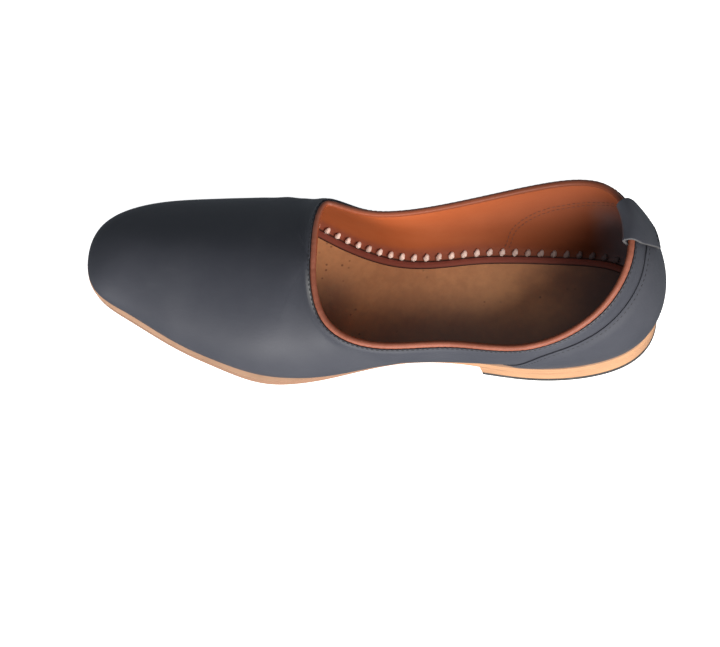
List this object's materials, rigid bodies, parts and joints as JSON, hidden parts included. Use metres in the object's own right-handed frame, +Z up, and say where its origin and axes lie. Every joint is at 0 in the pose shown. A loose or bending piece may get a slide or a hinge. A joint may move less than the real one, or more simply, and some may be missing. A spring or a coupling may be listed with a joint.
{
  "type": "khussa slip-on shoe",
  "caption": "Left closed-toe leather slip-on of the khussa kind, hollow, with a wide low collar, piped edge, heel counter, pull tab, leather sole and low heel.",
  "frame": {"origin": "on the floor, under the middle of the shoe's box", "axes": "+X towards the toe, +Y towards the outer side of the left foot, +Z up"},
  "size_m": [0.2932, 0.0974, 0.0815],
  "materials": {
    "sole_leather": "natural tan sole leather, cut edge smooth and pale",
    "heel_leather": "stacked tan sole leather",
    "heel_rubber": "matt black rubber",
    "insole_leather": "matt olive-brown leather with small specks",
    "upper_leather": "smooth black leather, satin, lined with orange-brown leather",
    "counter_leather": "smooth black leather, satin",
    "binding_leather": "rolled brown leather",
    "tab_leather": "black leather strip, soft"
  },
  "bodies": {
    "root": {"outsole": "sole_leather", "heel_lift": "heel_leather", "heel_toppiece": "heel_rubber", "insole": "insole_leather", "upper": "upper_leather", "heel_counter": "counter_leather", "collar_binding": "binding_leather", "pull_tab": "tab_leather"}
  },
  "joints": []
}
